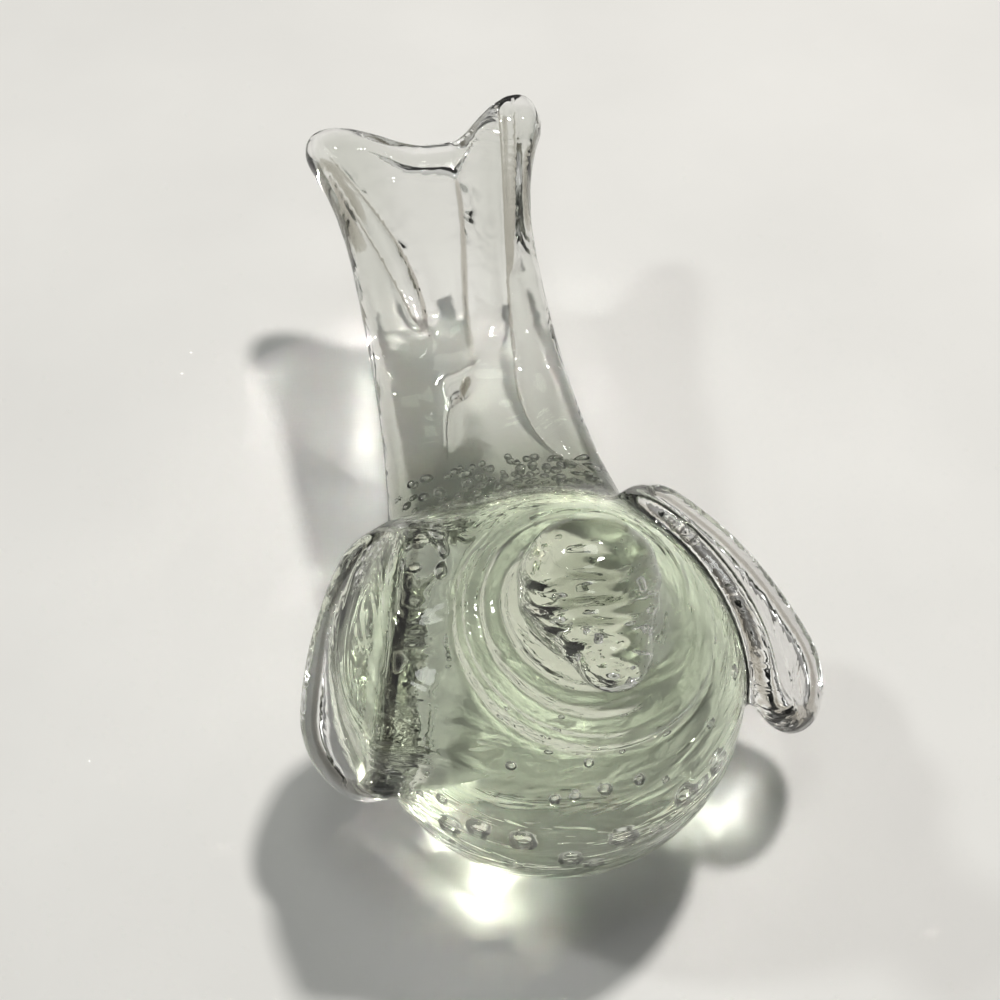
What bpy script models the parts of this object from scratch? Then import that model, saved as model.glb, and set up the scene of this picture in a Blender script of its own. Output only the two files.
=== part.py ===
"""Glass bird with trapped bubbles, as the separate gathers and bits of hot glass that it is made from.

Metres, +Z up. The bird faces -Y, its tail runs towards +Y and its left wing is at +X.
The origin is the centre of the ground flat that it stands on.
"""

import math

import bmesh
import bpy
import numpy as np
from mathutils import Matrix, Vector

MM = 0.001

# Body: a core pressed with rows of pits, under a clear outer gather that closes them into bubbles
BODY_RADIUS = 30.0 * MM
BASE_FLAT_RADIUS = 13.0 * MM
OUTER_GATHER_WALL = 5.0 * MM
PUNTY_RADIUS = 6.0 * MM
PUNTY_FILLET = 2.0 * MM
SEAM = 0.3 * MM

# Bubbles: rows of pits around the core, each row turned half a step from the one below
PIT_RADIUS = 1.5 * MM
PIT_ROW_ANGLES = (-38.0, -20.0, -2.0, 16.0, 34.0)
PIT_SPACING = 9.6 * MM

# Head and neck, which lean forward and a little to the left
HEAD_LEAN_FORWARD = 19.0
HEAD_LEAN_LEFT = 2.0
HEAD_RADIUS = 9.8 * MM
HEAD_STANDOFF = 2.7 * MM
BEAK_REACH = 15.2 * MM
BEAK_TIP_RADIUS = 5.4 * MM
BEAK_ROOT_RADIUS = 8.9 * MM
BEAK_DROP = 20.0
BEAK_TURN_LEFT = 7.0
BEAK_TAPER = 1.1
NECK_RADIUS = 8.2 * MM
NECK_SHOULDER_RADIUS = 19.0 * MM
NECK_EDGE = 1.1 * MM
NECK_FLARE = 2.2
NECK_RINGS = 4
NECK_RING_DEPTH = 0.45 * MM

# Tail: one flattened gob, drawn back and a little up, pinched into creases and ending in two horns
TAIL_SUNK = 9.0 * MM
TAIL_LENGTH = 84.6 * MM
TAIL_ROOT_LIFT = 6.0 * MM
TAIL_RISE = 8.0 * MM
TAIL_LEVEL_ROOT = 5.0 * MM
TAIL_RISE_LENGTH = 60.0 * MM
TAIL_ROOT_HALF_WIDTH = 20.5 * MM
TAIL_WAIST_HALF_WIDTH = 16.3 * MM
TAIL_END_HALF_WIDTH = 22.8 * MM
TAIL_WAIST_AT = 0.48
TAIL_LEFT_HORN = 10.4 * MM
TAIL_RIGHT_HORN = 8.1 * MM
TAIL_HORN_RADIUS = 4.2 * MM
TAIL_ROOT_THICKNESS = 15.0 * MM
TAIL_ROOT_KEEL = 9.0 * MM
TAIL_RIM_THICKNESS = 8.4 * MM
TAIL_WEB_THICKNESS = 5.6 * MM
TAIL_BEAD_WIDTH = 7.0 * MM
TAIL_DRIFT = 1.6 * MM
TAIL_END_DRIFT = 1.6 * MM

# Where the tail changes, as shares of its length and of its half-width
TAIL_ROOT_TO = 0.3
TAIL_WEB_FROM = 0.25
TAIL_WEB_TO = 0.6
TAIL_RIM_FROM = 0.25
TAIL_RIM_TO = 0.75

# Creases in the tail's upper face, each with its depth and its width.
# The points on a crease's line are (distance behind the body, x) in mm
TAIL_CREASE_FADE = 5.0 * MM
TAIL_CREASES = (
    (((35.4, -7.2), (43.0, -6.2), (54.0, -7.8), (68.0, -11.2), (82.0, -16.1)), 2.0 * MM, 1.3 * MM),
    (((35.4, -7.8), (44.5, -9.9), (59.8, -13.3), (77.6, -17.4)), 1.5 * MM, 1.1 * MM),
    (((30.0, -0.2), (43.6, 1.1), (57.8, 3.6), (72.0, 5.3)), 1.3 * MM, 1.4 * MM),
    (((27.0, 6.5), (40.0, 8.4), (56.3, 10.9), (72.3, 14.0), (90.0, 17.0)), 1.9 * MM, 1.3 * MM),
    (((44.0, 9.6), (56.0, 12.6), (71.9, 16.2), (88.0, 19.6)), 1.4 * MM, 1.0 * MM),
    (((2.0, 13.2), (8.1, 9.3), (13.8, 7.0), (20.9, 6.0), (28.0, 6.6)), 2.4 * MM, 1.2 * MM),
    (((9.0, -8.7), (16.4, -7.5), (21.1, -6.0), (23.7, -4.4)), 2.2 * MM, 0.8 * MM),
)

# The deep pit where a crease ends, at (distance behind the body, x)
TAIL_PIT_PLACE = (23.2 * MM, -4.3 * MM)
TAIL_PIT_DEPTH = 4.0 * MM
TAIL_PIT_WIDTH = 1.5 * MM

# Wings: leaf-shaped bits laid on the shoulders, each drawn out by hand, so the two differ.
# Their places are (degrees round from the tail, degrees above the body's centre, distance off the body)
WING_THICKNESS = 6.4 * MM
WING_ROOT_CLEARANCE = 0.6 * MM
WING_TIP_CLEARANCE = 2.4 * MM
WING_LIFT_FROM = 0.25
WING_LIFT_TO = 0.875
WING_ROOT_ROUNDING = 5.0 * MM
WING_ROOT_WIDTH = 0.62
WING_WIDEST_AT = 0.55
WING_FACING = (0.70, -0.22, 0.66)
LEFT_WING_ROOT = (35.7, 29.4, 2.5 * MM)
LEFT_WING_BEND = (65.4, 19.4, 4.4 * MM)
LEFT_WING_TIP = (104.5, -10.9, 12.6 * MM)
LEFT_WING_HALF_WIDTH = 9.8 * MM
RIGHT_WING_ROOT = (39.9, 31.2, 2.8 * MM)
RIGHT_WING_BEND = (79.9, 33.0, 3.9 * MM)
RIGHT_WING_TIP = (111.2, -6.3, 4.8 * MM)
RIGHT_WING_HALF_WIDTH = 12.8 * MM

# Mesh steps
ROUND_STEPS = 40
ARC_STEPS = 10
TAIL_STEPS = 36
TAIL_ACROSS = 44
NECK_STEPS = 28
WING_STEPS = 14
WING_ACROSS = 14
BEAK_STEPS = 6
END_STEPS = 4

body_centre_z = math.sqrt(BODY_RADIUS**2 - BASE_FLAT_RADIUS**2)
body_centre = Vector((0.0, 0.0, body_centre_z))
core_radius = BODY_RADIUS - OUTER_GATHER_WALL
head_height = BODY_RADIUS + HEAD_STANDOFF + HEAD_RADIUS
tail_root_y = BODY_RADIUS - TAIL_SUNK
tail_notch_y = BODY_RADIUS + TAIL_LENGTH
tail_root_z = body_centre_z + TAIL_ROOT_LIFT


def clear_scene():
    """Remove whatever the file holds."""
    for thing in list(bpy.data.objects):
        bpy.data.objects.remove(thing, do_unlink=True)


def glass(name, colour, roughness=0.03):
    """A clear glass tinted with the colour given."""
    material = bpy.data.materials.new(name)
    material.use_nodes = True
    shader = material.node_tree.nodes["Principled BSDF"]
    shader.inputs["Base Color"].default_value = (*colour, 1.0)
    shader.inputs["Roughness"].default_value = roughness
    shader.inputs["Metallic"].default_value = 0.0
    shader.inputs["IOR"].default_value = 1.5
    shader.inputs["Transmission Weight"].default_value = 1.0
    material.diffuse_color = (*colour, 1.0)
    return material


def add_object(name, mesh_builder, material, crease=40.0):
    """Turn a bmesh into a named, smooth-shaded object."""
    bmesh.ops.recalc_face_normals(mesh_builder, faces=mesh_builder.faces)
    mesh = bpy.data.meshes.new(name)
    mesh_builder.to_mesh(mesh)
    mesh_builder.free()
    mesh.shade_smooth()
    mesh.set_sharp_from_angle(angle=math.radians(crease))
    if material:
        mesh.materials.append(material)
    thing = bpy.data.objects.new(name, mesh)
    bpy.context.scene.collection.objects.link(thing)
    return thing


def turned(profile, steps=ROUND_STEPS):
    """A closed solid of revolution about Z, from (radius, height) points that start and end on the axis."""
    shape = bmesh.new()
    rings = []
    for radius, height in profile:
        if radius == 0.0:
            rings.append([shape.verts.new((0.0, 0.0, height))])
            continue
        ring = []
        for step in range(steps):
            angle = 2.0 * math.pi * step / steps
            ring.append(shape.verts.new((radius * math.cos(angle), radius * math.sin(angle), height)))
        rings.append(ring)
    for low, high in zip(rings, rings[1:]):
        for step in range(steps):
            after = (step + 1) % steps
            if len(low) == 1:
                shape.faces.new((low[0], high[step], high[after]))
            elif len(high) == 1:
                shape.faces.new((low[step], high[0], low[after]))
            else:
                shape.faces.new((low[step], high[step], high[after], low[after]))
    return shape


def arc(radius, start, end, steps=ARC_STEPS, centre=(0.0, 0.0)):
    """Points on an arc in the turning plane, between two angles in degrees above the horizontal."""
    points = []
    for step in range(steps + 1):
        angle = math.radians(start + (end - start) * step / steps)
        points.append((centre[0] + radius * math.cos(angle), centre[1] + radius * math.sin(angle)))
    return points


def angle_to(radius, ring_radius):
    """Degrees from the horizontal at which a sphere narrows to a ring of the radius given."""
    return math.degrees(math.acos(ring_radius / radius))


def hide(cutter):
    """Keep a cutting shape out of the finished object."""
    cutter.hide_render = True
    cutter.display_type = "WIRE"


def ball(name, radius, centre, steps=40):
    """A hidden sphere that cuts a seat out of the bits that sit on it."""
    shape = bmesh.new()
    bmesh.ops.create_uvsphere(shape, u_segments=steps, v_segments=steps // 2, radius=radius)
    cutter = add_object(name, shape, None)
    cutter.location = centre
    hide(cutter)
    return cutter


def cut(thing, cutter):
    """Cut one object by a hidden one."""
    step = thing.modifiers.new("Cut by " + cutter.name, "BOOLEAN")
    step.operation = "DIFFERENCE"
    step.solver = "EXACT"
    step.object = cutter


def turn_to(direction):
    """A rotation that takes +Z to the direction given."""
    return Vector((0.0, 0.0, 1.0)).rotation_difference(direction).to_matrix().to_4x4()


def head_axis():
    """The way from the body's centre to the head's."""
    forward = math.radians(HEAD_LEAN_FORWARD)
    left = math.radians(HEAD_LEAN_LEFT)
    return Vector((math.sin(left), -math.sin(forward), math.cos(forward))).normalized()


def head_centre():
    return body_centre + head_axis() * head_height


def pit_directions():
    """Unit vectors from the core's centre to the middle of each pit."""
    directions = []
    for row, degrees in enumerate(PIT_ROW_ANGLES):
        height = math.radians(degrees)
        around = 2.0 * math.pi * core_radius * math.cos(height)
        count = round(around / PIT_SPACING)
        for step in range(count):
            angle = 2.0 * math.pi * (step + 0.5 * (row % 2)) / count
            flat = math.cos(height)
            directions.append(Vector((flat * math.cos(angle), flat * math.sin(angle), math.sin(height))))
    return directions


def make_core(material):
    """The inner gather, with its pits and the neck of glass that the punty iron held."""
    waist = PUNTY_RADIUS + PUNTY_FILLET
    low = -angle_to(core_radius, waist)
    where_sphere_ends = core_radius * math.sin(math.radians(low))
    profile = [(0.0, -body_centre_z), (PUNTY_RADIUS, -body_centre_z)]
    profile += [(PUNTY_RADIUS, where_sphere_ends - 0.6 * PUNTY_FILLET)]
    profile += arc(core_radius, low, 90.0, 2 * ARC_STEPS)[:-1]
    profile += [(0.0, core_radius)]
    core = add_object("core_gather", turned(profile), material)
    core.location = body_centre

    pits = bmesh.new()
    for direction in pit_directions():
        place = Matrix.Translation(direction * core_radius) @ turn_to(direction)
        bmesh.ops.create_icosphere(pits, subdivisions=1, radius=PIT_RADIUS, matrix=place)
    cutter = add_object("pit_cutter", pits, None)
    cutter.location = body_centre
    hide(cutter)
    cut(core, cutter)
    return core


def make_outer_gather(material):
    """The clear gather over the core, open under the bird where the punty was."""
    hole = PUNTY_RADIUS + SEAM
    inside = core_radius + SEAM
    mouth = hole + PUNTY_FILLET
    profile = [(0.0, BODY_RADIUS)]
    profile += arc(BODY_RADIUS, 90.0, -angle_to(BODY_RADIUS, BASE_FLAT_RADIUS), 2 * ARC_STEPS)[1:]
    profile += [(hole, -body_centre_z)]
    low = -angle_to(inside, mouth)
    profile += [(hole, inside * math.sin(math.radians(low)) - 0.6 * PUNTY_FILLET)]
    profile += arc(inside, low, 90.0, 2 * ARC_STEPS)[:-1]
    profile += [(0.0, inside)]
    gather = add_object("outer_gather", turned(profile), material)
    gather.location = body_centre
    return gather


def make_neck(material):
    """The collar that flares from the head down over the shoulder."""
    seat = BODY_RADIUS * math.cos(math.asin(NECK_SHOULDER_RADIUS / BODY_RADIUS))
    top = head_height
    profile = [(0.0, seat - 2.0 * NECK_EDGE), (NECK_SHOULDER_RADIUS, seat - 2.0 * NECK_EDGE)]
    profile += [(NECK_SHOULDER_RADIUS, seat + NECK_EDGE)]
    for step in range(1, NECK_STEPS + 1):
        share = step / NECK_STEPS
        radius = NECK_RADIUS + (NECK_SHOULDER_RADIUS - NECK_RADIUS) * (1.0 - share) ** NECK_FLARE
        radius += NECK_RING_DEPTH * math.sin(2.0 * math.pi * NECK_RINGS * share) * math.sin(math.pi * share)
        profile.append((radius, seat + NECK_EDGE + (top - seat - NECK_EDGE) * share**0.8))
    profile.append((0.0, top))
    neck = add_object("neck_collar", turned(profile), material)
    neck.matrix_world = Matrix.Translation(body_centre) @ turn_to(head_axis())
    cut(neck, ball("body_seat", BODY_RADIUS + SEAM, body_centre))
    cutter = add_object("head_seat", turned(head_profile(SEAM), 32), None)
    cutter.matrix_world = head_place()
    hide(cutter)
    cut(neck, cutter)
    return neck


def head_profile(grown=0.0):
    """The head's outline about the beak's line, from the back of the head to the beak's tip."""
    radius = HEAD_RADIUS + grown
    tip_radius = BEAK_TIP_RADIUS + grown
    tip_centre = BEAK_REACH - BEAK_TIP_RADIUS
    shoulder = math.degrees(math.acos(BEAK_ROOT_RADIUS / HEAD_RADIUS))
    profile = [(0.0, -radius)]
    profile += arc(radius, -90.0, shoulder)[1:]
    start = profile[-1]
    for step in range(1, BEAK_STEPS + 1):
        share = step / BEAK_STEPS
        around = tip_radius + (start[0] - tip_radius) * (1.0 - share) ** BEAK_TAPER
        profile.append((around, start[1] + (tip_centre - start[1]) * share))
    profile += arc(tip_radius, 30.0, 90.0, 2, (0.0, tip_centre))[:-1]
    profile.append((0.0, tip_centre + tip_radius))
    return profile


def head_place():
    """Where the head sits and which way its beak points."""
    drop = math.radians(BEAK_DROP)
    left = math.radians(BEAK_TURN_LEFT)
    facing = Vector((math.sin(left), -math.cos(drop), -math.sin(drop))).normalized()
    return Matrix.Translation(head_centre()) @ turn_to(facing)


def make_head(material):
    """The knob of the head with the beak drawn out of it."""
    head = add_object("head", turned(head_profile(), 32), material)
    head.matrix_world = head_place()
    return head


def smooth_step(value, start=0.0, end=1.0):
    """Rises smoothly from 0 to 1 while the value goes from the start to the end."""
    value = min(max((value - start) / (end - start), 0.0), 1.0)
    return value * value * (3.0 - 2.0 * value)


def rim(share):
    """Height of a half-round edge, from 0 at the edge to 1 one radius in."""
    share = min(max(share, 0.0), 1.0)
    return math.sqrt(1.0 - (1.0 - share) ** 2)


def tail_half_width(along):
    """Half the tail's width: narrowing from the root to the waist, then flaring to the horns."""
    if along < TAIL_WAIST_AT:
        share = (1.0 - along / TAIL_WAIST_AT) ** 2
        return TAIL_WAIST_HALF_WIDTH + (TAIL_ROOT_HALF_WIDTH - TAIL_WAIST_HALF_WIDTH) * share
    share = ((along - TAIL_WAIST_AT) / (1.0 - TAIL_WAIST_AT)) ** 2
    return TAIL_WAIST_HALF_WIDTH + (TAIL_END_HALF_WIDTH - TAIL_WAIST_HALF_WIDTH) * share


def tail_thickness(across, along, to_end):
    """The tail's thickness: thick at the root, then a thinner web between thick rims and an end bead."""
    beside = smooth_step(abs(across), TAIL_RIM_FROM, TAIL_RIM_TO)
    to_rim = max(beside, smooth_step(to_end, TAIL_BEAD_WIDTH, 0.0))
    rims = TAIL_WEB_THICKNESS + (TAIL_RIM_THICKNESS - TAIL_WEB_THICKNESS) * to_rim
    drawn = TAIL_RIM_THICKNESS + (rims - TAIL_RIM_THICKNESS) * smooth_step(along, TAIL_WEB_FROM, TAIL_WEB_TO)
    return drawn + (TAIL_ROOT_THICKNESS - drawn) * smooth_step(along, TAIL_ROOT_TO, 0.0)


def crease_lines():
    """Each crease as a smooth curve of x, with where it begins and ends, its depth and its width."""
    lines = []
    for points, depth, width in TAIL_CREASES:
        behind, x = np.array(points).T * MM
        curve = np.polynomial.Polynomial.fit(behind, x, 3)
        lines.append((curve, behind[0], behind[-1], depth, width))
    return lines


def tail_crease_depth(x, y, lines):
    """How deep the creases and the pit are at a place on the upper face."""
    behind = y - BODY_RADIUS
    off_pit = math.hypot(behind - TAIL_PIT_PLACE[0], x - TAIL_PIT_PLACE[1]) / TAIL_PIT_WIDTH
    total = TAIL_PIT_DEPTH * math.exp(-(off_pit**2))
    for curve, begins, ends, depth, width in lines:
        strength = smooth_step(behind, begins, begins + TAIL_CREASE_FADE)
        strength *= smooth_step(behind, ends + TAIL_CREASE_FADE, ends)
        if strength > 0.0:
            total += strength * depth * math.exp(-abs(x - curve(behind)) / width)
    return total


def tail_point(across, along, side, lines):
    """A point on the tail's upper or lower face, for across -1 to 1 and along 0 to 1."""
    horn = TAIL_LEFT_HORN if across > 0.0 else TAIL_RIGHT_HORN
    horn *= smooth_step(abs(across), 0.0, TAIL_RIM_TO) * smooth_step(along)
    reach = tail_notch_y - tail_root_y + horn
    to_end = (1.0 - along) * reach
    half = tail_half_width(along) - TAIL_HORN_RADIUS * (1.0 - rim(to_end / TAIL_HORN_RADIUS))
    x = across * half - TAIL_DRIFT * math.sin(math.pi * along) + TAIL_END_DRIFT * along**2
    y = tail_root_y + reach * along
    rise_from = tail_root_y + TAIL_LEVEL_ROOT
    middle = tail_root_z + TAIL_RISE * smooth_step(y, rise_from, rise_from + TAIL_RISE_LENGTH)
    thick = tail_thickness(across, along, to_end)
    rounded = rim((1.0 - abs(across)) * half / (0.5 * thick)) * rim(to_end / (0.5 * thick))
    lift = side * 0.5 * thick * rounded
    if side > 0.0:
        lift -= tail_crease_depth(x, y, lines) * rounded
    if side < 0.0:
        lift -= TAIL_ROOT_KEEL * smooth_step(along, TAIL_ROOT_TO, 0.0) * rounded
    return Vector((x, y, middle + lift))


def across_steps(count):
    """Places across a bit of glass, closer together near its rounded edges."""
    return [math.sin(0.5 * math.pi * (2.0 * step / count - 1.0)) for step in range(count + 1)]


def rounded_steps(count, near, far):
    """Places along a bit of glass, closer together where its ends round off."""
    rounding = [1.0 - math.cos(0.5 * math.pi * (step + 0.4) / END_STEPS) for step in range(END_STEPS)]
    places = []
    if near > 0.0:
        places += [near * share for share in rounding]
    places += [near + (1.0 - near - far) * step / count for step in range(count + 1)]
    places += [1.0 - far * share for share in reversed(rounding)]
    return places


def pillow(point, along_places, across_count, flat_root):
    """A closed solid from an upper and a lower face that meet all round, but for a flat root if asked."""
    shape = bmesh.new()
    places = across_steps(across_count)
    upper = []
    lower = []
    for row, along in enumerate(along_places):
        closed = row == len(along_places) - 1 or (row == 0 and not flat_root)
        top_row = []
        bottom_row = []
        for column, across in enumerate(places):
            shared = closed or column in (0, across_count)
            top = shape.verts.new(point(across, along, 0.0 if shared else 1.0))
            top_row.append(top)
            bottom_row.append(top if shared else shape.verts.new(point(across, along, -1.0)))
        upper.append(top_row)
        lower.append(bottom_row)
    for row in range(len(along_places) - 1):
        for column in range(across_count):
            for grid in (upper, lower):
                corners = (
                    grid[row][column],
                    grid[row][column + 1],
                    grid[row + 1][column + 1],
                    grid[row + 1][column],
                )
                shape.faces.new(corners)
    if flat_root:
        shape.faces.new(upper[0] + lower[0][-2:0:-1])
    return shape


def make_tail(material):
    lines = crease_lines()

    def point(across, along, side):
        return tail_point(across, along, side, lines)

    rounding = 0.5 * TAIL_RIM_THICKNESS / (tail_notch_y - tail_root_y)
    shape = pillow(point, rounded_steps(TAIL_STEPS, 0.0, rounding), TAIL_ACROSS, True)
    tail = add_object("tail", shape, material)
    cut(tail, ball("tail_seat", BODY_RADIUS + SEAM, body_centre))
    return tail


def laid_on_body(place, clearance):
    """A place moved outwards, where it has to be, so that it lies on the body."""
    out = place - body_centre
    least = BODY_RADIUS + clearance
    softness = 1.5 * MM
    beyond = (out.length - least) / softness
    return body_centre + out.normalized() * (least + softness * math.log1p(math.exp(beyond)))


def beside_body(place, side):
    """A place given by its way round from the tail, its way up and its distance off the body."""
    around = math.radians(place[0])
    above = math.radians(place[1])
    flat = math.cos(above)
    out = Vector((side * flat * math.sin(around), flat * math.cos(around), math.sin(above)))
    return body_centre + out * (BODY_RADIUS + place[2])


def make_wing(name, side, root, bend, tip, half_width, material):
    """A leaf-shaped bit from the shoulder, round the side of the body, to a free tip."""
    start = beside_body(root, side)
    middle = beside_body(bend, side)
    end = beside_body(tip, side)
    length = (end - start).length
    facing = Vector((side * WING_FACING[0], WING_FACING[1], WING_FACING[2])).normalized()

    def middle_point(across, along):
        heading = (middle - start) * (1.0 - along) + (end - middle) * along
        sideways = facing.cross(heading).normalized()
        widened = math.sin(0.5 * math.pi * min(1.0, along / WING_WIDEST_AT))
        half = half_width * (WING_ROOT_WIDTH + (1.0 - WING_ROOT_WIDTH) * widened)
        half *= rim((1.0 - along) * length / half_width)
        half *= rim(along * length / WING_ROOT_ROUNDING)
        spine = start * (1.0 - along) ** 2 + middle * 2.0 * along * (1.0 - along) + end * along**2
        lift = smooth_step(along, WING_LIFT_FROM, WING_LIFT_TO)
        clearance = WING_ROOT_CLEARANCE + (WING_TIP_CLEARANCE - WING_ROOT_CLEARANCE) * lift
        return laid_on_body(spine + sideways * across * half, clearance), half

    def point(across, along, face):
        place, half = middle_point(across, along)
        step = 0.01
        before = middle_point(across, max(along - step, 0.0))[0]
        after = middle_point(across, min(along + step, 1.0))[0]
        inner = middle_point(max(across - step, -1.0), along)[0]
        outer = middle_point(min(across + step, 1.0), along)[0]
        normal = (after - before).cross(outer - inner).normalized()
        if normal.dot(facing) < 0.0:
            normal.negate()
        edge = rim((1.0 - abs(across)) * half / (0.5 * WING_THICKNESS))
        closing = rim((1.0 - along) * length / (0.5 * WING_THICKNESS))
        opening = rim(along * length / (0.5 * WING_THICKNESS))
        return place + normal * face * 0.5 * WING_THICKNESS * edge * closing * opening

    places = rounded_steps(WING_STEPS, WING_ROOT_ROUNDING / length, half_width / length)
    wing = add_object(name, pillow(point, places, WING_ACROSS, False), material)
    cut(wing, ball(name + "_seat", BODY_RADIUS + SEAM, body_centre))
    return wing


def main():
    clear_scene()
    green = glass("pale green glass", (0.70, 0.78, 0.66))
    clear = glass("clear glass", (0.86, 0.88, 0.84))
    make_core(green)
    make_outer_gather(clear)
    make_neck(green)
    make_head(green)
    make_tail(clear)
    left = (LEFT_WING_ROOT, LEFT_WING_BEND, LEFT_WING_TIP, LEFT_WING_HALF_WIDTH)
    right = (RIGHT_WING_ROOT, RIGHT_WING_BEND, RIGHT_WING_TIP, RIGHT_WING_HALF_WIDTH)
    make_wing("wing_left", 1.0, *left, clear)
    make_wing("wing_right", -1.0, *right, clear)


main()
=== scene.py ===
"""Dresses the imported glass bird: one fused skin of glass with its trapped bubbles, on a pale floor."""

import math

import bmesh
import bpy
import numpy as np
from bpy.props import FloatProperty, FloatVectorProperty, IntProperty
from mathutils import Matrix, Vector


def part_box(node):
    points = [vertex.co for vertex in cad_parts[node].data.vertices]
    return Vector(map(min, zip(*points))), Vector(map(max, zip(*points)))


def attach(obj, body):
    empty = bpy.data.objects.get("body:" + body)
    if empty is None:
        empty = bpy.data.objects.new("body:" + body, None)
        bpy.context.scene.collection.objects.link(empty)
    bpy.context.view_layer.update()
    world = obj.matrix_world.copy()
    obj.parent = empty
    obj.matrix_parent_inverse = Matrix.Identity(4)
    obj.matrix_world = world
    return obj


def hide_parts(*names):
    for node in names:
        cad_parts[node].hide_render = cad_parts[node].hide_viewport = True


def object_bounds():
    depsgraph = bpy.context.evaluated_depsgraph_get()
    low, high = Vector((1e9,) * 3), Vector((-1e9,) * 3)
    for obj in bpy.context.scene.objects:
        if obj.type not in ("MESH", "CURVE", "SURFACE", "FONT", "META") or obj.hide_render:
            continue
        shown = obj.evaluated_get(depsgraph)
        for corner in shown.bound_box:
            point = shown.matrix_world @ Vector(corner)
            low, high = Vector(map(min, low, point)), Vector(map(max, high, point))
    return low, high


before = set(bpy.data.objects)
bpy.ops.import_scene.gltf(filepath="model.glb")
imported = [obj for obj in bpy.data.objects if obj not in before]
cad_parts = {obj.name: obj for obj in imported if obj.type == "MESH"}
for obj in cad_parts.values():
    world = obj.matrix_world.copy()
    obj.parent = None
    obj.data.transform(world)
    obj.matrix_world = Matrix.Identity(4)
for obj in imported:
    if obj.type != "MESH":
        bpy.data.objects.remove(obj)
cad_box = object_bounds()

bl_info = {
    "name": "Glass Bird",
    "version": (1, 0, 0),
    "blender": (4, 5, 0),
    "location": "View3D > Sidebar > Glass Bird",
    "description": "Blows a solid glass bird with trapped bubbles over its packed model",
    "category": "Add Mesh",
}

MM = 0.001
CORE_NODES = ("core_gather",)
CLEAR_NODES = ("outer_gather", "neck_collar", "head", "tail", "wing_left", "wing_right")

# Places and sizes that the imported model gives
body_low, body_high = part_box("outer_gather")
BODY_RADIUS = 0.5 * (body_high.x - body_low.x)
BODY_CENTRE = np.array((0.0, 0.0, body_high.z - BODY_RADIUS))
FOOT_ROUNDING = 1.6 * MM

# Head and beak; a lean is in degrees towards the bird's left and then forward
HEAD_LEAN = (2.0, 17.0)
HEAD_HEIGHT = 42.5 * MM
HEAD_RADIUS = 9.4 * MM
HEAD_FILLET = 1.6 * MM
BEAK_AIM = np.array((0.12, -0.93, -0.34))
BEAK_AIM /= np.linalg.norm(BEAK_AIM)
BEAK_REACH = 9.8 * MM
BEAK_TIP_RADIUS = 5.4 * MM
BEAK_ROOT_RADIUS = 9.0 * MM
BEAK_FILLET = 3.0 * MM

# Ripples in the head, which swirl round a place a little below its middle
RIPPLE_HEIGHT = 0.14 * MM
RIPPLE_PITCH = 3.2 * MM
SWIRL_BELOW = 2.0 * MM
SWIRL_WIDENING = 0.6
SWIRL_SLANT = 0.5
SWIRL_SWAY = 0.4 * MM
SWIRL_SWAY_LENGTH = 1.7 * MM

# The flared collar between the shoulder and the head
COLLAR_LEAN = (7.0, 14.5)
COLLAR_RADIUS = 19.4 * MM
COLLAR_TOP_RADIUS = 8.0 * MM
COLLAR_LIP = 1.9 * MM
COLLAR_SINK = 4.0 * MM
COLLAR_FLARE = (1.25, 2.2)
COLLAR_WALL_SLOPE = 1.35
COLLAR_EDGE_ROUNDING = 1.0 * MM
COLLAR_FILLET = 0.7 * MM

# Rings wound into the collar, deepest on the bird's right, and the shares of its height where they fade
RING_DEPTH = 0.55 * MM
RING_COUNT = 5.5
RING_SWAY = 0.6
RING_FADE_AT_FOOT = 1.0 / 6.0
RING_FADE_AT_TOP = 1.0 / 3.0

# Course of the tail, from its root in the body to the notch at its end
TAIL_START_Y = 6.0 * MM
TAIL_ROOT_Y = 21.0 * MM
TAIL_NOTCH_Y = 113.2 * MM
TAIL_ROOT_Z = 33.0 * MM
TAIL_RISE = 8.0 * MM
TAIL_RISE_FROM_Y = 26.0 * MM
TAIL_RISE_TO_Y = 86.0 * MM
TAIL_DRIFT = 1.6 * MM
TAIL_END_DRIFT = 1.6 * MM
TAIL_FILLET = 5.0 * MM

# Outline of the tail: half-widths at root, waist and end; places along it are shares of its length
TAIL_HALF_WIDTHS = (22.2 * MM, 16.2 * MM, 21.8 * MM)
TAIL_WAIST_AT = 0.48
TAIL_ALONG_TO = 1.15
TAIL_ROOT_FLARE = 2
TAIL_END_FLARE = 3
TAIL_SIDE_SLOPE = 1.02
TAIL_END_SLOPE = 1.15
TAIL_CORNER_ROUNDING = 6.0 * MM

# Horns: length, the shares of the half-width where each starts, is full and begins to fall,
# over what share it falls, and how much of its length it loses
RIGHT_HORN = (8.6 * MM, 0.0, 0.72, 0.75, 0.4, 0.3)
LEFT_HORN = (11.2 * MM, 0.22, 0.66, 0.70, 0.32, 0.4)

# Thicknesses of the tail at its root, its rims and its web, and the shares between which they change
TAIL_THICKNESSES = (17.0 * MM, 8.4 * MM, 5.6 * MM)
TAIL_LEAST_HALF_THICKNESS = 0.8 * MM
TAIL_RIM_FROM = 0.25
TAIL_RIM_TO = 0.75
TAIL_WEB_FROM = 0.25
TAIL_WEB_TO = 0.6
TAIL_ROOT_TO = 0.3
TAIL_BEAD = 7.0 * MM
TAIL_KEEL = 10.0 * MM
TAIL_KEEL_TO = 0.42

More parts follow.
